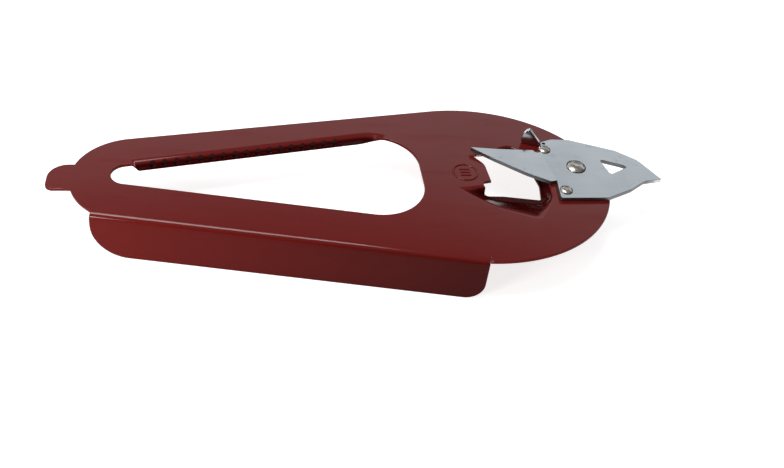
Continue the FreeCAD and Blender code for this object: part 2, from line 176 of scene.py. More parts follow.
class Sheet:
    """A flat blank with holes, cut into triangles along given lines, then bent and given its thickness."""

    RIM_STEPS = 4

    def __init__(self, outline, holes=(), lines=(), points=()):
        self.loops = [cleaned(outline)] + [cleaned(hole) for hole in holes]
        self.lines = lines
        self.points = points

    def flat(self):
        """Points and triangles of the blank."""
        coords, edges, faces = list(self.points), [], []
        for loop in self.loops:
            first = len(coords)
            coords += loop
            faces.append(list(range(first, len(coords))))
        for line in self.lines:
            first = len(coords)
            coords += line
            edges += [(first + i, first + i + 1) for i in range(len(line) - 1)]
        points, _, triangles, _, _, owners = delaunay_2d_cdt(coords, edges, faces, 0, 1e-3)
        kept = [list(tri) for tri, owner in zip(triangles, owners) if list(owner) == [0]]
        used = sorted({i for tri in kept for i in tri})
        order = {old: new for new, old in enumerate(used)}
        return [points[i] for i in used], [[order[i] for i in tri] for tri in kept]

    def rim(self, top, normal, out, gauge, radius):
        """Points, normals of the rounded edge below one boundary point."""
        side = out.normalized()
        for k in range(1, 2 * self.RIM_STEPS):
            turn = pi * k / (2 * self.RIM_STEPS)
            lift = cos(turn)
            drops = [radius * (1 - lift)] if k <= self.RIM_STEPS else []
            drops += [gauge - radius * (1 + lift)] if k >= self.RIM_STEPS else []
            for drop in drops:
                yield top + out * (radius * sin(turn)) - normal * drop, side * sin(turn) + normal * lift

    def solid(self, place, gauge, radius, wear_and_painted_light, press=None):
        """Adds thickness: points, faces, normals, edge mask and the mask of wear and painted light of the
        bent sheet.

        place gives a blank point's top point and its normal, wear_and_painted_light its mask value, from -1
        for painted shade to 1 for rubbed steel and painted glints, and press where the point and its normal
        go on the top face alone.
        """
        points, triangles = self.flat()
        tops, normals = zip(*(place(point) for point in points))
        verts = list(tops) + [top - normal * gauge for top, normal in zip(tops, normals)]
        shade = list(normals) + [-normal for normal in normals]
        for i, point in enumerate(points if press else []):
            verts[i], shade[i] = press(point, tops[i], normals[i])
        worn_and_painted_light = [wear_and_painted_light(point) for point in points] * 2
        edge = [0.0] * len(verts)
        under = len(points)
        faces = [list(tri) for tri in triangles] + [[i + under for i in reversed(tri)] for tri in triangles]
        sides = {(a, b) for tri in triangles for a, b in zip(tri, tri[1:] + tri[:1])}
        ahead = {a: b for a, b in sides if (b, a) not in sides}
        behind = {b: a for a, b in ahead.items()}
        rings = {}
        for i in sorted(ahead):
            coming = (tops[i] - tops[behind[i]]).cross(normals[i]).normalized()
            going = (tops[ahead[i]] - tops[i]).cross(normals[i]).normalized()
            out = coming + going
            out = out / max(out.length_squared / 2, 0.5)
            rings[i] = [i]
            for point, normal in self.rim(tops[i], normals[i], out, gauge, radius):
                rings[i].append(len(verts))
                verts.append(point)
                shade.append(normal.normalized())
                worn_and_painted_light.append(worn_and_painted_light[i])
                edge.append(1.0)
            rings[i].append(i + under)
        for a, b in ahead.items():
            faces += [[rings[b][k], rings[a][k], rings[a][k + 1], rings[b][k + 1]]
                      for k in range(len(rings[a]) - 1)]
        return verts, faces, shade, edge, worn_and_painted_light


def joined(*solids):
    """Several closed solids as one set of points, faces and masks."""
    verts, faces, shade, edge, worn_and_painted_light = [], [], [], [], []
    for points, polygons, *masks in solids:
        first = len(verts)
        verts += points
        faces += [[first + i for i in face] for face in polygons]
        for total, mask in zip((shade, edge, worn_and_painted_light), masks):
            total += mask
    return verts, faces, shade, edge, worn_and_painted_light


def sheet_mesh(name, verts, faces, shade, edge, worn_and_painted_light):
    """A mesh in the row's frame from plan points, with its own normals and its two masks."""
    mesh = bpy.data.meshes.new(name)
    mesh.from_pydata([row(vert) for vert in verts], [], faces)
    mesh.shade_smooth()
    for mask, values in (("edge", edge), ("wear_and_painted_light", worn_and_painted_light)):
        mesh.attributes.new(mask, "FLOAT", "POINT").data.foreach_set("value", values)
    mesh.normals_split_custom_set_from_vertices(shade)
    return mesh


def bent(point, reach, way, radius, most):
    """Top point and normal of blank point `point`, which lies `reach` past a bend's start.

    way is the plan direction that the bend runs towards, and most is the bend's whole angle in
    degrees, positive downward.
    """
    base = Vector((*(point - way * reach), 0.0))
    side = 1 if most > 0 else -1
    turn = min(max(reach, 0.0) / radius, radians(abs(most)))
    rest = reach - turn * radius
    out = radius * sin(turn) + rest * cos(turn)
    down = radius * (1 - cos(turn)) + rest * sin(turn)
    across = Vector((*way, 0.0))
    normal = across * (sin(turn) * side) + Vector((0, 0, cos(turn)))
    return base + across * out - Vector((0, 0, down * side)), normal



# ---------------------------------------------------------------- the body's plan

# Corners (x, y, radius) of the dish where it leaves the sheet and of its floor, in the same order.
DISH_RIM = [
    (134.0, -4.6, 0.5), (146.0, -15.4, 20.0), (160.8, -22.0, 4.0), (167.6, -10.0, 7.0), (168.8, 2.0, 10.0),
    (166.8, 13.4, 7.0), (158.0, 20.2, 5.0), (147.6, 15.0, 3.0), (148.4, 5.0, 0.5), (148.0, -4.6, 0.5),
]
DISH_FLOOR = [
    (141.6, -5.2, 0.5), (148.4, -7.9, 6.0), (163.4, -10.2, 1.2), (166.0, -7.6, 2.0), (166.4, 1.5, 5.0),
    (164.8, 11.5, 5.0), (157.5, 16.2, 4.0), (149.5, 13.2, 2.0), (149.2, 4.5, 0.3), (149.0, -4.8, 0.3),
]
# Corners of the crown-cap opening; the fourth is the point of the hook that catches the cap.
CAP_OPENING = [
    (150.0, 14.4, 2.0), (143.4, 13.4, 0.8), (146.9, 8.4, 5.0), (147.4, -1.1, 0.35), (144.1, -1.6, 1.4),
    (144.8, -6.2, 1.6), (151.0, -6.3, 6.0), (164.0, -8.3, 1.0), (165.4, 0.0, 8.0), (163.6, 12.6, 4.0),
]
# Parts of the way down the dish's wall at which the blank is cut into rings.
RINGS = (0.0, 0.06, 0.12, 0.18, 0.24, 0.4, 0.6, 0.76, 0.82, 0.88, 0.94, 1.0)
# Width of the relief slit at each end of the flange.
SLIT = 0.12


class BodyPlan:
    """The body's blank, and the place of each of its points once it is pressed."""

    def __init__(self, size):
        self.size = size
        self.slope = tan(radians(size.edge_angle))
        self.side_y = hypot(size.head_length * self.slope, size.head_width)
        self.tail = Vector((size.tail_x, 0))
        self.tail_radius = self.side(size.tail_x, 1).y * cos(radians(size.edge_angle))
        self.fold_way = unit(-size.edge_angle)
        self.fold_out = unit(-size.edge_angle - 90)
        start, end = self.side(size.fold_start, -1), self.side(size.fold_end, -1)
        self.fold_from = start - self.fold_out * size.fold_radius
        self.fold_length = (end - start).length
        quarter = size.fold_radius * pi / 2
        self.flange_depth = quarter + FLANGE_HEIGHT - size.fold_radius
        self.lip_depth = quarter + size.lip_height - size.fold_radius
        self.plan_grip()
        self.rim = rounded(DISH_RIM)
        self.floor = rounded(DISH_FLOOR)

    def side(self, x, sign):
        """Point of the body's straight side at x: sign +1 on the far side, -1 on the near side."""
        return Vector((x, sign * (self.side_y + self.slope * (x - self.size.head_x))))

    def plan_grip(self):
        """The tear-drop's corners, and where its toothed lip starts to bend."""
        size = self.size
        self.far_way = unit(size.grip_far_angle)
        self.lip_out = unit(size.grip_far_angle + 90)
        near_way = unit(-size.grip_near_angle)
        near_point = Vector((size.grip_station, -size.grip_near))
        far_point = Vector((size.grip_station, size.grip_far))
        end_point = Vector((size.grip_end, 0))
        self.tip = crossing(near_point, near_way, far_point, self.far_way)
        self.near_corner = crossing(near_point, near_way, end_point, unit(90))
        self.far_corner = crossing(far_point, self.far_way, end_point, unit(90))
        turn, self.lip_centre = corner_turn(self.near_corner, self.far_corner, self.tip, size.grip_radius)
        start = crossing(far_point, self.far_way, Vector((size.lip_start, 0)), self.lip_out)
        self.lip_from = start + self.lip_out * size.fold_radius
        self.lip_straight = (turn[-1] - start).length
        self.lip_radius = size.grip_radius + size.fold_radius
        self.lip_length = self.lip_straight + self.lip_radius * radians(size.lip_turn)
        self.lip_stops = [size.lip_rise * k / 8 for k in range(9)]
        self.lip_stops += [self.lip_length - size.lip_runout * (1 - k / 20) for k in range(21)]

    def on_flange(self, along, down):
        return self.fold_from + self.fold_way * along + self.fold_out * down

    def on_lip(self, along, down):
        """Blank point of the lip: along its bend, and down past the bend's start."""
        if along <= self.lip_straight:
            return self.lip_from + self.far_way * along - self.lip_out * down
        turn = degrees((along - self.lip_straight) / self.lip_radius)
        return self.lip_centre + unit(self.size.grip_far_angle + 90 - turn) * (self.lip_radius - down)

    def lip_place(self, point):
        """Along and down of a blank point seen from the lip's bend, and the way the lip bends."""
        off = point - self.lip_centre
        turn = self.size.grip_far_angle + 90 - degrees(atan2(off.y, off.x))
        if turn > 0 and off.dot(self.far_way) > 0:
            along = self.lip_straight + radians(turn) * self.lip_radius
            return along, self.lip_radius - off.length, -off.normalized()
        off = point - self.lip_from
        return off.dot(self.far_way), -off.dot(self.lip_out), -self.lip_out

    def lip_part(self, along):
        """How much of its full bend the lip has at a distance along it."""
        size = self.size
        left = ramp(along, self.lip_length - size.lip_runout, self.lip_length)
        return ramp(along, 0, size.lip_rise) * (1 - left)

    def outline(self):
        """Outline of the blank, with the flange laid flat."""
        size = self.size
        run, depth = self.fold_length, self.flange_depth
        tail, head = size.tail_corner, size.head_corner
        step_x = self.on_flange(run + SLIT, size.fold_radius).x
        near_turn = -degrees(acos((step_x - size.head_x) / size.head_length))
        far_turn = degrees(acos(-size.head_length * self.slope / self.side_y))
        oval = [Vector((size.head_x + size.head_length * p.x, size.head_width * p.y))
                for p in arc(Vector((0, 0)), 1.0, near_turn, far_turn, 110)]
        half = size.tab_width / 2
        root = degrees(atan2(half, -sqrt(self.tail_radius ** 2 - half ** 2)))
        tail_far = arc(self.tail, self.tail_radius, 90 + size.edge_angle, root, 22)
        tab = [Vector((size.tab_far_corner, half - size.tab_far_corner)),
               Vector((size.tab_near_corner, size.tab_near_corner - half))]
        rim = self.on_flange(-SLIT, 0) - self.tail
        inward = rim.dot(self.fold_out)
        reach = sqrt(inward ** 2 - rim.length_squared + self.tail_radius ** 2)
        tail_end = rim + self.fold_out * (reach - inward)
        last = 360 + degrees(atan2(tail_end.y, tail_end.x))
        tail_near = arc(self.tail, self.tail_radius, 360 - root, last, 16)
        turn = 180 - size.edge_angle
        return (oval + tail_far + arc(tab[0], size.tab_far_corner, 90, 180, 8)
                + arc(tab[1], size.tab_near_corner, 180, 270, 6) + tail_near
                + [self.on_flange(-SLIT, -SLIT), self.on_flange(0, -SLIT)]
                + arc(self.on_flange(tail, depth - tail), tail, turn, turn + 90, 14)
                + arc(self.on_flange(run - head, depth - head), head, turn + 90, turn + 180, 12)
                + [self.on_flange(run, -SLIT), self.on_flange(run + SLIT, -SLIT)])

    def grip(self):
        """Outline of the tear-drop opening in the blank, with the lip laid flat."""
        size = self.size
        wide = self.lip_depth - size.fold_radius
        lip = [self.on_lip(along, size.fold_radius + wide * self.lip_part(along)) for along in self.lip_stops]
        far = arc(self.lip_centre, size.grip_radius, size.grip_far_angle + 90 - size.lip_turn, 0, 20)
        near, _ = corner_turn(self.far_corner, self.near_corner, self.tip, size.grip_radius, 24)
        tip, _ = corner_turn(self.near_corner, self.tip, self.far_corner, size.grip_tip_radius, 24)
        return lip + far + near + tip

    def gap_centre(self, number):
        """Distance along the lip of one gap's middle."""
        first = crossing(self.lip_from, self.far_way, Vector((self.size.tooth_start, 0)), self.lip_out)
        return (first - self.lip_from).dot(self.far_way) + number * self.size.tooth_pitch

    def gap(self, number, radius):
        """Circle in the blank round one of the gaps between the teeth."""
        size = self.size
        middle = self.gap_centre(number)
        points = []
        for around in arc(Vector((0, 0)), radius, 0, 345, 23):
            drop = size.gap_drop + around.y
            if drop < size.fold_radius:
                down = size.fold_radius * acos(1 - drop / size.fold_radius)
            else:
                down = size.fold_radius * pi / 2 + drop - size.fold_radius
            points.append(self.on_lip(middle + around.x, down))
        return points + points[:1]

    def bite(self, along, drop):
        """How far the nearest gap is pressed in at a place on the lip: 0 outside it, 1 on its floor."""
        size = self.size
        number = min(size.tooth_count - 1, max(0, round((along - self.gap_centre(0)) / size.tooth_pitch)))
        away = hypot(along - self.gap_centre(number), drop - size.gap_drop)
        return ramp(-away, -size.gap_radius, -size.gap_radius * 0.78)

    def pressed(self, along, down):
        """Point of the straight lip's face once the gaps are pressed into it."""
        size = self.size
        top, _ = bent(self.on_lip(along, down), down, -self.lip_out, size.fold_radius, 90)
        back = size.gap_depth * self.bite(along, -top.z)
        proud = (self.lip_from.to_3d() - top).dot(self.lip_out.to_3d()) - size.fold_radius + back
        return top + self.lip_out.to_3d() * max(proud, 0.0)

    def press(self, point, top, normal):
        """Where the top face goes where the gaps between the teeth are pressed into it."""
        along, down, _ = self.lip_place(point)
        margin = self.size.gap_radius * 1.2
        first, last = self.gap_centre(0), self.gap_centre(self.size.tooth_count - 1)
        if not (0 < down < self.lip_depth and first - margin < along < last + margin):
            return top, normal
        step = 0.03
        across = self.pressed(along + step, down) - self.pressed(along - step, down)
        drop = self.pressed(along, down + step) - self.pressed(along, down - step)
        return self.pressed(along, down), drop.cross(across).normalized()

    def blank(self, edge):
        """The sheet that the body is pressed from. edge is the radius of its rounded edges."""
        size = self.size
        holes = [self.grip(), rounded(CAP_OPENING, 12), *rivet_holes()]
        bends = [size.fold_radius * radians(90 * k / 10) for k in range(11)]
        lines = [[self.on_flange(-0.03, down), self.on_flange(self.fold_length + 0.03, down)]
                 for down in bends]
        lines += [[self.on_lip(along, down) for along in self.lip_stops] for down in bends]
        lines += [self.gap(number, size.gap_radius * part)
                  for number in range(size.tooth_count) for part in (1.0, 0.93, 0.86, 0.78, 0.5, 0.2)]
        for part in RINGS:
            ring = rounded(between(DISH_RIM, DISH_FLOOR, part))
            lines.append(ring + ring[:1])
        return Sheet(inset(self.outline(), edge), [inset(hole, -edge) for hole in holes], lines, self.grid())

    def grid(self, pitch=0.8):
        """Points that fill the dish."""
        low = Vector((min(p.x for p in self.rim), min(p.y for p in self.rim)))
        high = Vector((max(p.x for p in self.rim), max(p.y for p in self.rim)))
        step = pitch * 0.87
        columns, rows = int((high.x - low.x) / pitch), int((high.y - low.y) / pitch / 0.87)
        points = [Vector((low.x + (i + j % 2 / 2) * pitch, low.y + j * step))
                  for i in range(columns) for j in range(rows)]
        return [p for p in points if from_polyline(p, self.rim) < -0.3]

    def height(self, point):
        """Height of the pressed sheet in and around the dish."""
        rim = from_polyline(point, self.rim)
        if rim >= 0:
            return 0.0
        floor = from_polyline(point, self.floor)
        if floor <= 0:
            return -self.size.dish_depth
        part, soft = -rim / (floor - rim), 0.24
        steep = 1 / (1 - soft)
        if part < soft:
            fall = steep * part ** 2 / (2 * soft)
        elif part > 1 - soft:
            fall = 1 - steep * (1 - part) ** 2 / (2 * soft)
        else:
            fall = steep * (part - soft / 2)
        return -self.size.dish_depth * fall

    def place(self, point):
        """Top point and normal of a blank point in the pressed body."""
        off = point - self.fold_from
        along, down = off.dot(self.fold_way), off.dot(self.fold_out)
        if down > 0 and -SLIT / 2 < along < self.fold_length + SLIT / 2:
            return bent(point, down, self.fold_out, self.size.fold_radius, 90)
        along, down, way = self.lip_place(point)
        if 0 < down <= self.lip_depth and 0 < along < self.lip_length:
            return bent(point, down, way, self.size.fold_radius, 90 * self.lip_part(along))
        step = 0.05
        if from_polyline(point, self.rim) > step:
            return Vector((*point, 0.0)), Vector((0, 0, 1))
        rise = [(self.height(point + way * step) - self.height(point - way * step)) / (2 * step)
                for way in (unit(0), unit(90))]
        return Vector((*point, self.height(point))), Vector((-rise[0], -rise[1], 1)).normalized()

    def wear_and_painted_light(self, point):
        """1 for a painted glint, given as bare steel, at the cap opening's far corner; down to -1 for painted
        shade on the flange, the lip's face and its gaps, and the dish.
        """
        off = point - self.fold_from
        along, down = off.dot(self.fold_way), off.dot(self.fold_out)
        if down > 0 and 0 <= along <= self.fold_length:
            # Painted shade on the flange, deeper towards its head end, away from the light.
            return ramp(down, 0.5, 3.5) * -min(0.8, max(0.0, along / 130 - 0.12))
        along, down, _ = self.lip_place(point)
        if 0 < down <= self.lip_depth and 0 < along < self.lip_length:
            drop = -self.place(point)[0].z
            # Painted shade on the lip's face below its bend and in the gaps between the teeth.
            return -max(ramp(drop, 0.35, 1.4), self.bite(along, drop))
        # A painted glint at the cap opening's far corner, given as bare steel, and painted shade in the dish.
        steel_glint_spot = 1.0 - ramp((point - Vector((143.2, 14.4))).length, 1.5, 4.0)
        return steel_glint_spot - ramp(-self.height(point), 0.0, 0.6)


# ---------------------------------------------------------------- the cutter plate's plan

EAR_ROOT = Vector((170.3, 19.9))
ROOT = Vector((168.4, 14.9))
HEEL = Vector((170.4, -2.4))
NECK_FAR = Vector((197.2, 15.25))
NECK_NEAR = Vector((196.6, -6.9))
# Corners (x, y, radius) of the stamping: the blade, the near side, the point and the far side.
CUTTER_OUTLINE = [
    (ROOT.x, ROOT.y, 0.0), (152.0, 14.5, 60.0), (142.3, 14.9, 0.2), (150.6, 8.4, 30.0), (160.4, 1.3, 12.0),
    (168.2, -3.0, 0.8), (HEEL.x, HEEL.y, 0.0), (170.0, -5.4, 0.8), (169.4, -11.8, 0.8), (186.6, -11.6, 4.0),
    (NECK_NEAR.x, NECK_NEAR.y, 0.0), (203.2, -1.8, 6.0), (210.6, 0.2, 0.25), (204.6, 10.6, 4.0),
    (NECK_FAR.x, NECK_FAR.y, 0.0), (181.2, 21.4, 6.0), (174.4, 21.6, 4.0), (EAR_ROOT.x, EAR_ROOT.y, 0.6),
]
KEY_HOLE = [(189.6, 9.9, 0.7), (191.4, 1.3, 0.9), (199.4, 5.9, 0.7)]
NOTCH = (167.3, 14.7)
# Corners (along, up, radius) of the ear, which stands on end from the plate's far corner.
EAR = [
    (-1.6, 0.3, 0.0), (7.1, 0.3, 0.9), (7.4, 3.4, 4.0), (5.2, 6.8, 0.7), (0.2, 1.45, 1.5), (-1.6, 1.45, 0.0),
]


class CutterPlan:
    """The cutter plate's blank, and the place of each of its points once it is bent."""

    CREASE_RADIUS = 5.0

    def __init__(self, size):
        self.size = size
        self.blade_way = Vector((HEEL.y - ROOT.y, ROOT.x - HEEL.x)).normalized()
        self.blade_way = self.blade_way if self.blade_way.x < 0 else -self.blade_way
        self.point_way = Vector((NECK_FAR.y - NECK_NEAR.y, NECK_NEAR.x - NECK_FAR.x)).normalized()

    def past(self, point, start, way, bend):
        """Distance past a crease's start; the crease is centred on the line through start."""
        return (point - start).dot(way) + self.CREASE_RADIUS * radians(bend) / 2

    def place(self, point):
        lift = Vector((0, 0, self.size.gauge))
        for start, way, bend in ((HEEL, self.blade_way, -self.size.blade_rise),
                                 (NECK_NEAR, self.point_way, self.size.point_drop)):
            reach = self.past(point, start, way, abs(bend))
            if reach > 0:
                top, normal = bent(point, reach, way, self.CREASE_RADIUS, bend)
                return top + lift, normal
        return Vector((*point, self.size.gauge)), Vector((0, 0, 1))

    def crease(self, start, end, way, bend):
        """Lines across the blank where one crease begins, runs and ends."""
        width = self.CREASE_RADIUS * radians(bend)
        reach = (end - start).normalized() * 0.5
        return [[start - reach + way * shift, end + reach + way * shift]
                for shift in (-width / 2, -width / 6, width / 6, width / 2)]

    def blank(self, edge):
        holes = [rounded(KEY_HOLE), circle(NOTCH, self.size.notch_radius), *rivet_holes()]
        lines = self.crease(HEEL, ROOT, self.blade_way, self.size.blade_rise)
        lines += self.crease(NECK_NEAR, NECK_FAR, self.point_way, self.size.point_drop)
        return Sheet(inset(rounded(CUTTER_OUTLINE), edge), [inset(hole, -edge) for hole in holes], lines)

    def ear(self, edge):
        """The upright ear as a flat solid."""
        way = unit(self.size.ear_turn)
        facing = unit(self.size.ear_turn - 90)

        def place(point):
            return Vector((*(EAR_ROOT + way * point.x), point.y)), Vector((*facing, 0.0))

        flat = Sheet(inset(rounded(EAR), edge))
        # Every point of the ear gets 1: a painted highlight on all its edges instead of the cut edges'
        # painted shade.
        return flat.solid(place, self.size.gauge, edge, lambda point: 1.0)

    def wear_and_painted_light(self, point):
        """The point's tip is rubbed bright, and the blade's far edge a little; where this is 0 the cut edges
        get painted shade.
        """
        return max(ramp(-point.x, -168, -160) * ramp(point.y, 13.0, 14.2) * 0.6, ramp(point.x, 205, 209))


# ---------------------------------------------------------------- node trees

class Term:
    """A socket of a node tree that takes part in Python arithmetic."""

    def __init__(self, graph, socket):
        self.graph = graph
        self.socket = socket

    def math(self, operation, *others):
        return self.graph.node("ShaderNodeMath", {"operation": operation}, [self, *others])

    def __add__(self, other):
        return self.math("ADD", other)

    def __sub__(self, other):
        return self.math("SUBTRACT", other)

    def __mul__(self, other):
        return self.math("MULTIPLY", other)

    def __truediv__(self, other):
        return self.math("DIVIDE", other)

    def __pow__(self, other):
        return self.math("POWER", other)

    def __neg__(self):
        return self * -1

    def __rsub__(self, other):
        return -self + other

    __radd__ = __add__
    __rmul__ = __mul__

    def rise(self, start, end, low=0.0, high=1.0):
        """A smooth step from low to high as the value goes from start to end."""
        return self.graph.node("ShaderNodeMapRange", {"interpolation_type": "SMOOTHSTEP"},
                               [self, start, end, low, high])


class Graph:
    """Adds nodes to a tree and links them."""

    def __init__(self, tree):
        self.tree = tree

    def node(self, kind, settings=None, inputs=(), output=0):
        """Adds a node: its settings first, then its inputs by place or by name."""
        made = self.tree.nodes.new(kind)
        for key, value in (settings or {}).items():
            setattr(made, key, value)
        named = inputs.items() if isinstance(inputs, dict) else enumerate(inputs)
        for key, value in named:
            if isinstance(value, Term):
                self.tree.links.new(value.socket, made.inputs[key])
            elif value is not None:
                made.inputs[key].default_value = value
        return Term(self, made.outputs[output])

    def more(self, term, output):
        """Another output of the node that a term comes from."""
        return Term(self, term.socket.node.outputs[output])


class Form(Graph):
    """A geometry tree with named inputs for its sizes."""

    def __init__(self, name, sockets):
        super().__init__(bpy.data.node_groups.new(name, "GeometryNodeTree"))
        sides = self.tree.interface
        for key, kind, value in sockets:
            made = sides.new_socket(key, in_out="INPUT", socket_type="NodeSocket" + kind)
            if value is not None:
                made.default_value = value
        sides.new_socket("Geometry", in_out="OUTPUT", socket_type="NodeSocketGeometry")
        self.given = self.tree.nodes.new("NodeGroupInput")

    def size(self, name):
        return Term(self, self.given.outputs[name])

    def vector(self, x=0.0, y=0.0, z=0.0):
        return self.node("ShaderNodeCombineXYZ", None, [x, y, z])

    def close(self, geometry):
        """Ends the tree in real geometry with its material."""
        real = self.node("GeometryNodeRealizeInstances", None, [geometry])
        smooth = self.node("GeometryNodeSetShadeSmooth", None, {"Geometry": real, "Shade Smooth": True})
        done = self.node("GeometryNodeSetMaterial", None,
                         {"Geometry": smooth, "Material": self.size("Material")})
        self.tree.links.new(done.socket, self.tree.nodes.new("NodeGroupOutput").inputs[0])

    def mesh(self, name, values):
        """A plain mesh from the tree with these input values."""
        carrier = bpy.data.objects.new(name, bpy.data.meshes.new(name + "_seed"))
        bpy.context.scene.collection.objects.link(carrier)
        modifier = carrier.modifiers.new("form", "NODES")
        modifier.node_group = self.tree
        for socket in self.tree.interface.items_tree:
            if socket.in_out == "INPUT" and socket.name in values:
                modifier[socket.identifier] = values[socket.name]
        seen = carrier.evaluated_get(bpy.context.evaluated_depsgraph_get())
        mesh = bpy.data.meshes.new_from_object(seen)
        mesh.name = name
        carrier.modifiers.remove(modifier)
        bpy.data.objects.remove(carrier)
        return mesh


def rivet_form():
    """A turned rivet: a dimpled dome above, a shank and a set tail below.

    Its outline is drawn as a line of corners, which are rounded and then turned about the axis.
    """
    form = Form("turned_rivet", [
        ("Head Radius", "Float", 0.0036), ("Dome Height", "Float", 0.0015), ("Shank Radius", "Float", 0.0024),
        ("Tail Radius", "Float", 0.0033), ("Tail Height", "Float", 0.0009), ("Grip", "Float", 0.00255),
        ("Seat", "Vector", None), ("Edge", "Float", 0.00018), ("Material", "Material", None),
    ])
    head, dome, shank = form.size("Head Radius"), form.size("Dome Height"), form.size("Shank Radius")
    tail, set_height, grip = form.size("Tail Radius"), form.size("Tail Height"), form.size("Grip")
    corners = [(0.0, dome * 0.84), (head * 0.24, dome * 0.86), (head * 0.4, dome * 0.99),
               (head * 0.62, dome * 0.86), (head * 0.84, dome * 0.56), (head * 0.97, dome * 0.22),
               (head, 0.0), (shank, 0.0), (shank, -grip), (tail, -grip), (tail * 0.86, -grip - set_height),
               (0.0, -grip - set_height)]
    switch = form.tree.nodes.new("GeometryNodeIndexSwitch")
    switch.data_type = "VECTOR"
    while len(switch.index_switch_items) < len(corners):
        switch.index_switch_items.new()
    form.tree.links.new(form.node("GeometryNodeInputIndex").socket, switch.inputs["Index"])
    for number, (out, up) in enumerate(corners):
        form.tree.links.new(form.vector(out, 0.0, up).socket, switch.inputs[number + 1])
    line = form.node("GeometryNodeMeshLine", None, {"Count": len(corners)})
    drawn = form.node("GeometryNodeSetPosition", None,
                      {"Geometry": line, "Position": Term(form, switch.outputs[0])})
    outline = form.node("GeometryNodeMeshToCurve", None, {"Mesh": drawn})
    soft = form.node("GeometryNodeFilletCurve", {"mode": "POLY"},
                     {"Curve": outline, "Radius": form.size("Edge"), "Count": 4})
    around, steps = 64, 160
    grid = form.node("GeometryNodeMeshGrid", None,
                     {"Size X": 1.0, "Size Y": 1.0, "Vertices X": around + 1, "Vertices Y": steps})
    part = form.node("ShaderNodeSeparateXYZ", None, [form.node("GeometryNodeInputPosition")])
    turn = (part + 0.5) * (2 * pi)
    place = form.node("GeometryNodeSampleCurve", {"mode": "FACTOR", "use_all_curves": True},
                      {"Curves": soft, "Factor": form.more(part, 1) + 0.5}, "Position")
    spot = form.node("ShaderNodeSeparateXYZ", None, [place])
    turned = form.vector(spot * turn.math("COSINE"), spot * turn.math("SINE"), form.more(spot, 2))
    seated = form.node("ShaderNodeVectorMath", {"operation": "ADD"}, [turned, form.size("Seat")])
    shaped = form.node("GeometryNodeSetPosition", None, {"Geometry": grid, "Position": seated})
    closed = form.node("GeometryNodeMergeByDistance", None, {"Geometry": shaped, "Distance": 2e-6})
    form.close(closed)
    return form


def mark_form():
    """A raised mark: one ring and a row of equal bars, half sunk in the sheet."""
    form = Form("raised_mark", [
        ("Ring Radius", "Float", 0.0046), ("Stroke", "Float", 0.0007), ("Height", "Float", 0.0003),
        ("Ring Centre", "Vector", None), ("First Bar", "Vector", None), ("Bar Length", "Float", 0.0065),
        ("Bar Pitch", "Float", 0.0048), ("Bar Count", "Int", 3), ("Material", "Material", None),
    ])
    stroke = form.size("Stroke")
    section = form.node("GeometryNodeCurvePrimitiveCircle", {"mode": "RADIUS"},
                        {"Resolution": 20, "Radius": stroke / 2})
    ring_radius = form.size("Ring Radius") - stroke / 2
    ring = form.node("GeometryNodeCurvePrimitiveCircle", {"mode": "RADIUS"},
                     {"Resolution": 96, "Radius": ring_radius})
    ring = form.node("GeometryNodeCurveToMesh", None, {"Curve": ring, "Profile Curve": section})
    ring = form.node("GeometryNodeTransform", None,
                     {"Geometry": ring, "Translation": form.size("Ring Centre")})
    reach = form.size("Bar Length") - stroke
    bar = form.node("GeometryNodeCurvePrimitiveLine", None, {"End": form.vector(reach)})
    bar = form.node("GeometryNodeResampleCurve", None, {"Curve": bar, "Count": 48})
    along = form.node("GeometryNodeSplineParameter", None, (), "Length")
    from_end = along.math("MINIMUM", reach - along) / (stroke / 2)
    taper = (1.0 - (1.0 - from_end.math("MINIMUM", 1.0)) ** 2.0).math("SQRT").math("MAXIMUM", 0.02)
    tapered = form.node("GeometryNodeSetCurveRadius", None, {"Curve": bar, "Radius": taper})
    bar = form.node("GeometryNodeCurveToMesh", None,
                    {"Curve": tapered, "Profile Curve": section, "Fill Caps": True})
    line = form.node("GeometryNodeMeshLine", {"mode": "OFFSET"},
                     {"Count": form.size("Bar Count"), "Start Location": form.size("First Bar"),
                      "Offset": form.vector(0.0, -form.size("Bar Pitch"))})
    bars = form.node("GeometryNodeInstanceOnPoints", None, {"Points": line, "Instance": bar})
    real = form.node("GeometryNodeRealizeInstances", None, [bars])
    both = form.tree.nodes.new("GeometryNodeJoinGeometry")
    for geometry in (ring, real):
        form.tree.links.new(geometry.socket, both.inputs[0])
    spot = form.node("GeometryNodeInputPosition")
    parts = form.node("ShaderNodeSeparateXYZ", None, [spot])
    floor = form.node("ShaderNodeSeparateXYZ", None, [form.size("Ring Centre")])
    base = form.more(floor, 2)
    squeezed = base + (form.more(parts, 2) - base) * form.size("Height") / (stroke / 2)
    flat = form.vector(parts, form.more(parts, 1), squeezed)
    shaped = form.node("GeometryNodeSetPosition", None,
                       {"Geometry": Term(form, both.outputs[0]), "Position": flat})
    form.close(shaped)
    return form


# ---------------------------------------------------------------- finishes

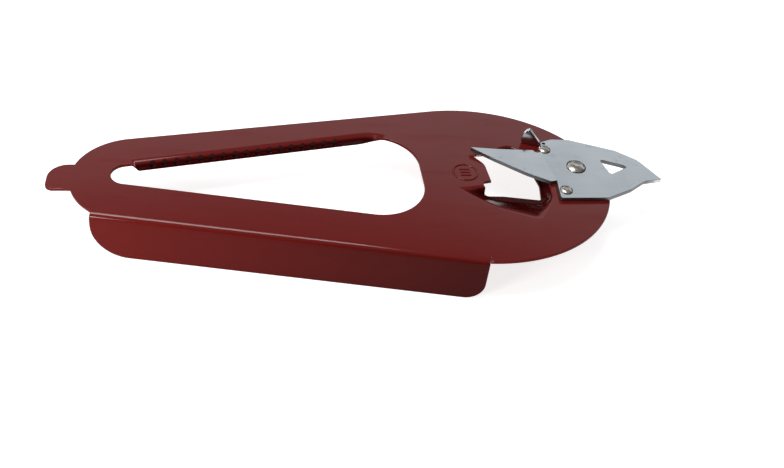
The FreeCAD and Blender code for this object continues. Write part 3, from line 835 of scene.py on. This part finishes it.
class Surface(Graph):
    """A material whose finish comes from its nodes."""

    def __init__(self, name, constants):
        self.material = bpy.data.materials.new(name)
        self.material.use_nodes = True
        super().__init__(self.material.node_tree)
        self.shader = self.tree.nodes["Principled BSDF"]
        for key, value in constants.items():
            self.shader.inputs[key].default_value = value
        self.place = self.node("ShaderNodeTexCoord", None, (), "Object")

    def noise(self, scale, detail=2.0, stretch=None, rough=0.5):
        """Noise from 0 to 1 whose features repeat `scale` times in a metre."""
        place = self.place
        if stretch:
            place = self.node("ShaderNodeVectorMath", {"operation": "MULTIPLY"}, [place, stretch])
        return self.node("ShaderNodeTexNoise", None,
                         {"Vector": place, "Scale": scale, "Detail": detail, "Roughness": rough}, "Fac")

    def specks(self, scale, size):
        """Small round specks, 1 at their middle."""
        cells = self.node("ShaderNodeTexVoronoi", {"feature": "F1"}, {"Vector": self.place, "Scale": scale},
                          "Distance")
        return cells.rise(size, size * 0.5)

    def mask(self, name):
        return self.node("ShaderNodeAttribute", {"attribute_name": name}, (), "Fac")

    def mix(self, part, low, high):
        """Colour between low and high."""
        made = self.node("ShaderNodeMix", {"data_type": "RGBA"}, {"Factor": part}, "Result")
        made = made.socket.node
        for key, value in ((6, low), (7, high)):
            if isinstance(value, Term):
                self.tree.links.new(value.socket, made.inputs[key])
            else:
                made.inputs[key].default_value = (*value[:3], 1.0)
        return Term(self, made.outputs[2])

    def bump(self, height, distance, strength=1.0):
        return self.node("ShaderNodeBump", None,
                         {"Height": height, "Distance": distance, "Strength": strength})

    def finish(self, **inputs):
        """Links the shader's inputs and gives the material."""
        for key, term in inputs.items():
            self.tree.links.new(term.socket, self.shader.inputs[key.replace("_", " ")])
        return self.material


def lacquer(look):
    """Lacquer on steel: a mask of painted shade darkens the tint and takes off the coat on the flange, lip,
    gaps and dish, the coat is kept only on level faces as painted shade on upright ones, and one painted
    glint is given as bare steel.
    """
    made = Surface("red_lacquer", {"Specular IOR Level": 0.05, "Coat Roughness": 0.1})
    broad, mottle, peel = made.noise(24), made.noise(230, 3.0), made.noise(1100, 1.0)
    smear = made.noise(30, 4.0, (1.0, 7.0, 7.0), 0.6).rise(0.52, 0.7)
    scratch = made.noise(70, 2.0, (1.0, 40.0, 40.0)).rise(0.7, 0.74)
    chips = made.noise(1300, 3.0)
    # A painted glint at the cap opening's far corner, given as bare steel on the rounded edge.
    steel_glint_spot = made.mask("edge") * made.mask("wear_and_painted_light").math("MAXIMUM", 0.0) * chips.rise(0.5, 0.56)
    tint = made.mix(broad * 0.6 + mottle * 0.4, look.lacquer_deep, look.lacquer_bright)
    # Painted shade: the negative part of the mask darkens the tint and takes off the coat.
    painted_shade = (made.mask("wear_and_painted_light") * -1).math("MAXIMUM", 0.0)
    tint = made.mix(painted_shade, tint, look.lacquer_pooled)
    tint = made.mix(steel_glint_spot, tint, look.bare_steel)
    rough = look.lacquer_roughness + smear * 0.06 + (mottle - 0.5) * 0.04 + scratch * 0.06
    height = peel * 0.5 + mottle * 0.5 - scratch * 0.12 - steel_glint_spot * 0.6
    # Painted shade on upright faces: the coat is kept only where the face lies level, so the flange and other
    # upright faces lose their reflection.
    normal = made.node("ShaderNodeNewGeometry", None, (), "Normal")
    level = made.more(made.node("ShaderNodeSeparateXYZ", None, [normal]), 2)
    gloss_upright_shade = level.rise(0.25, 0.65, 0.0, look.lacquer_gloss) * (1.0 - smear * 0.25 - scratch * 0.2)
    return made.finish(Base_Color=tint, Roughness=rough + steel_glint_spot * 0.15, Metallic=steel_glint_spot,
                       Coat_Weight=gloss_upright_shade * (1.0 - painted_shade), Normal=made.bump(height, 0.00002))


def chrome(look):
    """Chrome plating: fine polishing lines, faint stains, painted shade on the plate's cut edges, a rubbed
    point and blade edge, and a painted highlight on the ear's edges.
    """
    made = Surface("chrome_plating", {"Metallic": 1.0})
    cloud, lines = made.noise(70, 4.0), made.noise(60, 3.0, (1.0, 30.0, 30.0), 0.6)
    stain = made.noise(300, 3.0).rise(0.62, 0.74)
    scratch = made.noise(160, 2.0, (14.0, 1.0, 14.0)).rise(0.72, 0.76)
    # Rubbed at the point's tip and the blade's far edge, and a painted highlight on every edge of the ear.
    bright = made.mask("edge") * made.mask("wear_and_painted_light") * made.noise(500).rise(0.4, 0.6)
    # Painted shade: the plate's other cut edges are darkened.
    cut = made.mask("edge") * (1.0 - made.mask("wear_and_painted_light"))
    tint = made.mix(cloud.rise(0.3, 0.7) * 0.5 + stain * 0.12, look.chrome_bright, look.chrome_dull)
    tint = made.mix(cut, tint, look.chrome_cut)
    tint = made.mix(bright * 0.5, tint, (0.75, 0.75, 0.74))
    rough = look.chrome_roughness + lines * 0.07 + cloud * 0.05 + stain * 0.04 + scratch * 0.03 + cut * 0.25
    return made.finish(Base_Color=tint, Roughness=rough,
                       Normal=made.bump(lines * 0.5 + scratch * 0.1 + cloud * 0.4, 0.000004))


def rivet_steel(look):
    """Plated rivet steel: cloudy tone, small pits and patches of grime."""
    made = Surface("rivet_steel", {"Metallic": 1.0})
    cloud, pits = made.noise(400, 3.0), made.specks(1500, 0.2)
    grime = made.noise(700, 4.0).rise(0.5, 0.75)
    tint = made.mix(cloud * 0.5 + grime * 0.5, look.rivet_bright, look.rivet_dull)
    rough = look.rivet_roughness + cloud * 0.15 + grime * 0.2
    return made.finish(Base_Color=tint, Roughness=rough,
                       Normal=made.bump(cloud - pits * 0.4, 0.000006))


def floor_paper(glow):
    """Matt white paper on a light table."""
    made = Surface("floor_paper", {"Specular IOR Level": 0.0, "Emission Color": (1.0, 1.0, 1.0, 1.0),
                                   "Emission Strength": glow})
    fibres = made.noise(900, 4.0)
    tint = made.mix(fibres, (0.6, 0.6, 0.6), (0.63, 0.63, 0.63))
    return made.finish(Base_Color=tint, Roughness=fibres * 0.1 + 0.85, Normal=made.bump(fibres, 0.00003, 0.2))


# ---------------------------------------------------------------- settings

def length(name, description, millimetres):
    return FloatProperty(name=name, description=description, default=millimetres * MM, min=0.0, unit="LENGTH",
                         precision=5)


def angle(name, description, turn):
    return FloatProperty(name=name, description=description, default=radians(turn), subtype="ANGLE",
                         unit="ROTATION")


def colour(name, description, *value):
    return FloatVectorProperty(name=name, description=description, default=value, subtype="COLOR", size=3,
                               min=0.0, max=1.0)


def factor(name, description, value):
    return FloatProperty(name=name, description=description, default=value, min=0.0, soft_max=1.0,
                         subtype="FACTOR")


def power(name, description, value):
    return FloatProperty(name=name, description=description, default=value, min=0.0, unit="POWER")


class OPENER_PG_body(bpy.types.PropertyGroup):
    """Sizes of the pressed body."""

    gauge: length("Gauge", "Thickness of the body's sheet", 1.1)
    edge: length("Edge", "Radius of the lacquered sheet's rounded edges", 0.25)
    edge_angle: angle("Edge Angle", "Angle of the straight sides to the centre line", 10.3)
    head_x: length("Head Station", "Centre of the oval head from the tab's end", 141.7)
    head_length: length("Head Length", "Half the length of the oval head", 47.6)
    head_width: length("Head Width", "Half the width of the oval head", 41.1)
    tail_x: length("Tail Station", "Centre of the round tail from the tab's end", 28.0)
    tab_width: length("Tab Width", "Width of the prying tab", 12.6)
    tab_far_corner: length("Tab Far Corner", "Radius of the tab's far corner", 6.5)
    tab_near_corner: length("Tab Near Corner", "Radius of the tab's near corner", 2.5)
    fold_start: length("Fold Start", "Where the flange starts, from the tab's end", 15.0)
    fold_end: length("Fold End", "Where the flange ends, from the tab's end", 138.7)
    fold_radius: length("Fold Radius", "Outer radius of the flange's and the lip's bends", 2.2)
    tail_corner: length("Flange Tail Corner", "Radius of the flange's lower corner at the tail", 12.0)
    head_corner: length("Flange Head Corner", "Radius of the flange's lower corner at the head", 6.5)
    grip_near_angle: angle("Grip Near Angle", "Angle of the jar grip's near edge", 10.4)
    grip_near: length("Grip Near Edge", "Near edge from the centre line at the grip's station", 9.5)
    grip_far_angle: angle("Grip Far Angle", "Angle of the jar grip's toothed edge", 12.1)
    grip_far: length("Grip Far Edge", "Toothed edge from the centre line at the grip's station", 13.2)
    grip_station: length("Grip Station", "Where the grip's two edges are measured", 56.3)
    grip_end: length("Grip End", "Wide end of the jar grip from the tab's end", 123.4)
    grip_tip_radius: length("Grip Tip Radius", "Radius of the grip's narrow end", 5.0)
    grip_radius: length("Grip Radius", "Radius of the grip's two wide corners", 16.0)
    lip_start: length("Lip Start", "Where the toothed lip starts, from the tab's end", 27.6)
    lip_turn: angle("Lip Turn", "How far the lip follows the grip's far corner", 34.0)
    lip_height: length("Lip Height", "Height of the toothed lip below the sheet's top", 3.6)
    lip_rise: length("Lip Rise", "Length over which the lip bends down at its narrow end", 2.5)
    lip_runout: length("Lip Run-Out", "Length over which the lip runs out at its wide end", 12.0)
    tooth_start: length("Tooth Start", "First gap between the teeth from the tab's end", 34.6)
    tooth_pitch: length("Tooth Pitch", "Distance from one gap to the next", 3.98)
    tooth_count: IntProperty(name="Tooth Count", description="Number of gaps", default=17, min=1)
    gap_radius: length("Gap Radius", "Radius of the gaps between the teeth", 1.25)
    gap_drop: length("Gap Drop", "Middle of the gaps below the sheet's top", 1.5)
    gap_depth: length("Gap Depth", "Depth of the gaps behind the lip's face", 0.85)
    dish_depth: length("Dish Depth", "Depth of the dish pressed round the cap opening", 2.5)
    mark_x: length("Mark Station", "Centre of the raised ring from the tab's end", 139.0)
    mark_y: length("Mark Offset", "Centre of the raised ring from the centre line", 3.6)
    mark_radius: length("Mark Radius", "Outer radius of the raised ring", 4.6)
    mark_stroke: length("Mark Stroke", "Width of the raised ring and bars", 0.7)
    mark_height: length("Mark Height", "Height of the raised ring and bars", 0.3)
    bar_x: length("Bar Station", "Start of the raised bars from the tab's end", 136.9)
    bar_length: length("Bar Length", "Length of one raised bar", 4.2)
    bar_pitch: length("Bar Pitch", "Distance from one raised bar to the next", 1.6)


class OPENER_PG_cutter(bpy.types.PropertyGroup):
    """Sizes of the cutter plate."""

    gauge: length("Gauge", "Thickness of the plate", 1.45)
    edge: length("Edge", "Radius of the plate's edges", 0.14)
    blade_rise: angle("Blade Rise", "How far the blade is bent up", 2.5)
    point_drop: angle("Point Drop", "How far the piercing point is bent down", 5.0)
    ear_turn: angle("Ear Turn", "Direction in which the upright ear runs", 160.0)
    notch_radius: length("Notch Radius", "Radius of the relief notch beside the ear", 1.2)


class OPENER_PG_rivets(bpy.types.PropertyGroup):
    """Sizes of the rivets."""

    centre_head: length("Centre Head", "Radius of the centre rivet's head", 3.6)
    centre_dome: length("Centre Dome", "Height of the centre rivet's head", 1.1)
    centre_shank: length("Centre Shank", "Radius of the centre rivet's shank", 2.4)
    centre_tail: length("Centre Tail", "Radius of the centre rivet's set tail", 3.3)
    centre_set: length("Centre Set", "Height of the centre rivet's set tail", 0.9)
    small_head: length("Small Head", "Radius of the small rivets' heads", 2.3)
    small_dome: length("Small Dome", "Height of the small rivets' heads", 0.8)
    small_shank: length("Small Shank", "Radius of the small rivets' shanks", 1.5)
    small_tail: length("Small Tail", "Radius of the small rivets' set tails", 2.1)
    small_set: length("Small Set", "Height of the small rivets' set tails", 0.6)


class OPENER_PG_look(bpy.types.PropertyGroup):
    """Finishes."""

    lacquer_deep: colour("Deep Lacquer", "Lacquer where it is thickest", 0.098, 0.0062, 0.0048)
    lacquer_bright: colour("Bright Lacquer", "Lacquer where it is thinnest", 0.118, 0.008, 0.0062)
    # Painted shade: the colour of the flange towards its head end, the lip's face, the gaps between the teeth
    # and the dish.
    lacquer_pooled: colour("Pooled Lacquer", "Lacquer that has run together in hollows", 0.03, 0.0015, 0.0012)
    lacquer_gloss: factor("Lacquer Gloss", "How strongly the level lacquer reflects", 0.45)
    lacquer_roughness: factor("Lacquer Roughness", "Roughness of clean lacquer", 0.12)
    # Colour of the painted glint at the cap opening's far corner, given as bare steel.
    bare_steel: colour("Bare Steel", "Steel where the lacquer is rubbed off", 0.5, 0.48, 0.46)
    chrome_bright: colour("Bright Chrome", "Clean plating", 0.44, 0.465, 0.485)
    chrome_dull: colour("Dull Chrome", "Stained plating", 0.39, 0.41, 0.43)
    # Painted shade on the plate's cut edges.
    chrome_cut: colour("Cut Chrome", "Sheared edge of the plate", 0.16, 0.16, 0.165)
    chrome_roughness: factor("Chrome Roughness", "Roughness of clean plating", 0.12)
    rivet_bright: colour("Bright Rivet", "Clean rivet steel", 0.56, 0.52, 0.47)
    rivet_dull: colour("Dull Rivet", "Grimy rivet steel", 0.34, 0.31, 0.28)
    rivet_roughness: factor("Rivet Roughness", "Roughness of clean rivet steel", 0.16)


class OPENER_PG_stage(bpy.types.PropertyGroup):
    """Floor, light and camera."""

    floor_size: length("Floor Size", "Width of the pale floor", 6000.0)
    floor_glow: factor("Floor Glow", "Brightness of the light table under the floor", 0.8)
    key_power: power("Key Power", "Power of the soft light beyond the tail", 4.0)
    top_power: power("Top Power", "Power of the soft light over the tail", 4.2)
    side_power: power("Side Power", "Power of the small light on the near side", 0.5)
    window_level: factor("Window Level", "Brightness of the band of sky beyond the opener", 1.15)
    high_level: factor("High Level", "Brightness of the room overhead", 0.3)
    camera_azimuth: angle("Camera Azimuth", "Turn of the camera about the upright axis", -12.382)
    camera_elevation: angle("Camera Elevation", "Height of the camera above the horizon", 35.79)
    camera_roll: angle("Camera Roll", "Roll of the camera about its own axis", 8.15)
    camera_distance: length("Camera Distance", "Distance from the camera to its aim", 361.775)
    camera_lens: FloatProperty(name="Camera Lens", description="Focal length in millimetres", default=45.92)
    low_level: factor("Low Level", "Brightness of the room elsewhere", 0.06)


def plan(settings):
    """The group's lengths in millimetres and its angles in degrees, as the plans are drawn."""
    scale = {"LENGTH": 1 / MM, "ROTATION": 180 / pi}
    return SimpleNamespace(**{
        key.identifier: getattr(settings, key.identifier) * scale.get(key.unit, 1)
        for key in settings.bl_rna.properties if key.type in {"FLOAT", "INT"} and not key.is_array})


# ---------------------------------------------------------------- operators

def finish_of(context, slot):
    """The material of a slot, made the first time it is asked for."""
    makers = {"red_lacquer": lacquer, "chrome_plating": chrome, "rivet_steel": rivet_steel}
    name = slot + "_finish"
    if name not in bpy.data.materials:
        makers[slot](context.scene.opener_look).name = name
    return bpy.data.materials[name]


def add_piece(context, mesh, node, slot):
    """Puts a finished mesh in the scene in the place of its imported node."""
    made = bpy.data.objects.new(mesh.name, mesh)
    context.scene.collection.objects.link(made)
    mesh.materials.clear()
    mesh.materials.append(finish_of(context, slot))
    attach(made, "root")
    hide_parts(node)
    return made


class OPENER_OT_body(bpy.types.Operator):
    """Presses the lacquered body from one flat blank"""

    bl_idname = "opener.body"
    bl_label = "Body"

    def execute(self, context):
        size = plan(context.scene.opener_body)
        body = BodyPlan(size)
        solid = body.blank(size.edge).solid(body.place, size.gauge, size.edge, body.wear_and_painted_light, body.press)
        add_piece(context, sheet_mesh("pressed_body", *solid), "body_plate", "red_lacquer")
        return {"FINISHED"}


class OPENER_OT_mark(bpy.types.Operator):
    """Raises the ring and bars on the tongue between the grip and the cap opening"""

    bl_idname = "opener.mark"
    bl_label = "Raised Mark"

    def execute(self, context):
        settings = context.scene.opener_body
        size = plan(settings)
        mesh = mark_form().mesh("raised_mark", {
            "Ring Radius": settings.mark_radius, "Stroke": settings.mark_stroke,
            "Height": settings.mark_height, "Ring Centre": row((size.mark_x, size.mark_y, 0)),
            "First Bar": row((size.bar_x + size.mark_stroke / 2, size.mark_y + size.bar_pitch, 0)),
            "Bar Length": settings.bar_length, "Bar Pitch": settings.bar_pitch,
            "Material": finish_of(context, "red_lacquer")})
        add_piece(context, mesh, "body_plate", "red_lacquer")
        return {"FINISHED"}


class OPENER_OT_cutter(bpy.types.Operator):
    """Stamps the chromed cutter plate and its upright ear"""

    bl_idname = "opener.cutter"
    bl_label = "Cutter Plate"

    def execute(self, context):
        size = plan(context.scene.opener_cutter)
        cutter = CutterPlan(size)
        leaf = cutter.blank(size.edge).solid(cutter.place, size.gauge, size.edge, cutter.wear_and_painted_light)
        mesh = sheet_mesh("cutter_plate_and_ear", *joined(leaf, cutter.ear(size.edge)))
        add_piece(context, mesh, "cutter_plate", "chrome_plating")
        return {"FINISHED"}


class OPENER_OT_rivets(bpy.types.Operator):
    """Sets the three rivets"""

    bl_idname = "opener.rivets"
    bl_label = "Rivets"

    def execute(self, context):
        settings = context.scene.opener_rivets
        plate, body = context.scene.opener_cutter.gauge, context.scene.opener_body.gauge
        form = rivet_form()
        for node, centre, kind in (("centre_rivet", CENTRE_RIVET, "centre"),
                                   ("small_rivet_far", FAR_RIVET, "small"),
                                   ("small_rivet_near", NEAR_RIVET, "small")):
            mesh = form.mesh(node + "_turned", {
                "Head Radius": getattr(settings, kind + "_head"),
                "Dome Height": getattr(settings, kind + "_dome"),
                "Shank Radius": getattr(settings, kind + "_shank"),
                "Tail Radius": getattr(settings, kind + "_tail"),
                "Tail Height": getattr(settings, kind + "_set"),
                "Grip": plate + body, "Seat": row((*centre, plate / MM)),
                "Material": finish_of(context, "rivet_steel")})
            add_piece(context, mesh, node, "rivet_steel")
        return {"FINISHED"}


def room(stage):
    """Light of a plain room: a cool bright band beyond the opener, dim everywhere else."""
    world = bpy.data.worlds.new("room")
    world.use_nodes = True
    graph = Graph(world.node_tree)
    toward = graph.node("ShaderNodeTexCoord", None, (), "Generated")
    x = graph.node("ShaderNodeSeparateXYZ", None, [toward])
    up = graph.more(x, 2)
    band = up.rise(0.3, 0.5) * up.rise(0.69, 0.59) * graph.more(x, 1).rise(0.1, 0.5)
    level = stage.low_level + band * (stage.window_level - stage.low_level)
    level = level + up.rise(0.6, 0.8) * (stage.high_level - stage.low_level)
    background = graph.tree.nodes["Background"]
    background.inputs["Color"].default_value = (0.93, 0.97, 1.0, 1.0)
    graph.tree.links.new(level.socket, background.inputs["Strength"])
    return world


def soft_light(context, name, place, aim, width, depth, watts):
    """A rectangular soft light at a place, turned to face another."""
    light = bpy.data.lights.new(name, "AREA")
    light.shape, light.size, light.size_y, light.energy = "RECTANGLE", width, depth, watts
    made = bpy.data.objects.new(name, light)
    made.location = place
    made.rotation_euler = (Vector(place) - Vector(aim)).to_track_quat("Z", "Y").to_euler()
    context.scene.collection.objects.link(made)


class OPENER_OT_stage(bpy.types.Operator):
    """Lays the pale floor, lights the room and sets up the camera"""

    bl_idname = "opener.stage"
    bl_label = "Stage"

    def execute(self, context):
        stage = context.scene.opener_stage
        half = stage.floor_size / 2
        mesh = bpy.data.meshes.new("floor")
        mesh.from_pydata([(-half, -half, 0), (half, -half, 0), (half, half, 0), (-half, half, 0)], [],
                         [(0, 1, 2, 3)])
        floor = bpy.data.objects.new("floor", mesh)
        context.scene.collection.objects.link(floor)
        mesh.materials.append(floor_paper(stage.floor_glow))
        context.scene.world = room(stage)
        soft_light(context, "key", (-0.55, 0.35, 1.3), (0.0, 0.0, 0.0), 0.9, 0.7, stage.key_power)
        soft_light(context, "top", (-0.2, 0.0, 0.8), (-0.08, 0.0, 0.0), 0.3, 0.45, stage.top_power)
        soft_light(context, "side", (-0.22, -0.2, 0.12), (-0.06, -0.03, 0.01), 0.08, 0.08, stage.side_power)
        camera = bpy.data.cameras.new("camera")
        camera.sensor_width = 36.0
        camera.lens = stage.camera_lens
        camera.shift_x, camera.shift_y = -0.0052, -0.128
        view = bpy.data.objects.new("camera", camera)
        turn = (Matrix.Rotation(stage.camera_azimuth, 4, "Z")
                @ Matrix.Rotation(pi / 2 - stage.camera_elevation, 4, "X")
                @ Matrix.Rotation(stage.camera_roll, 4, "Z"))
        back = turn.to_3x3() @ Vector((0, 0, 1))
        aim = row((117.45, 25.65, 0.0))
        view.matrix_world = Matrix.Translation(aim + back * stage.camera_distance) @ turn
        context.scene.collection.objects.link(view)
        context.scene.camera = view
        context.scene.view_settings.view_transform = "Standard"
        return {"FINISHED"}


class OPENER_PT_panel(bpy.types.Panel):
    """Sizes and steps of the can opener"""

    bl_label = "Can Opener"
    bl_idname = "OPENER_PT_panel"
    bl_space_type = "VIEW_3D"
    bl_region_type = "UI"
    bl_category = "Can Opener"

    def draw(self, context):
        for group in GROUPS:
            box = self.layout.box()
            box.label(text=group.title())
            settings = getattr(context.scene, "opener_" + group)
            for key in settings.bl_rna.properties:
                if key.identifier not in {"rna_type", "name"}:
                    box.prop(settings, key.identifier)
        for step in STEPS:
            self.layout.operator(step.bl_idname)


GROUPS = {"body": OPENER_PG_body, "cutter": OPENER_PG_cutter, "rivets": OPENER_PG_rivets,
          "look": OPENER_PG_look, "stage": OPENER_PG_stage}
STEPS = (OPENER_OT_body, OPENER_OT_mark, OPENER_OT_cutter, OPENER_OT_rivets, OPENER_OT_stage)
CLASSES = (*GROUPS.values(), *STEPS, OPENER_PT_panel)


def register():
    for cls in CLASSES:
        bpy.utils.register_class(cls)
    for name, group in GROUPS.items():
        setattr(bpy.types.Scene, "opener_" + name, PointerProperty(type=group))


def unregister():
    for name in GROUPS:
        delattr(bpy.types.Scene, "opener_" + name)
    for cls in reversed(CLASSES):
        bpy.utils.unregister_class(cls)


def main():
    """Builds every piece and the stage."""
    register()
    bpy.ops.opener.body()
    bpy.ops.opener.mark()
    bpy.ops.opener.cutter()
    bpy.ops.opener.rivets()
    bpy.ops.opener.stage()


if __name__ == "__main__":
    main()
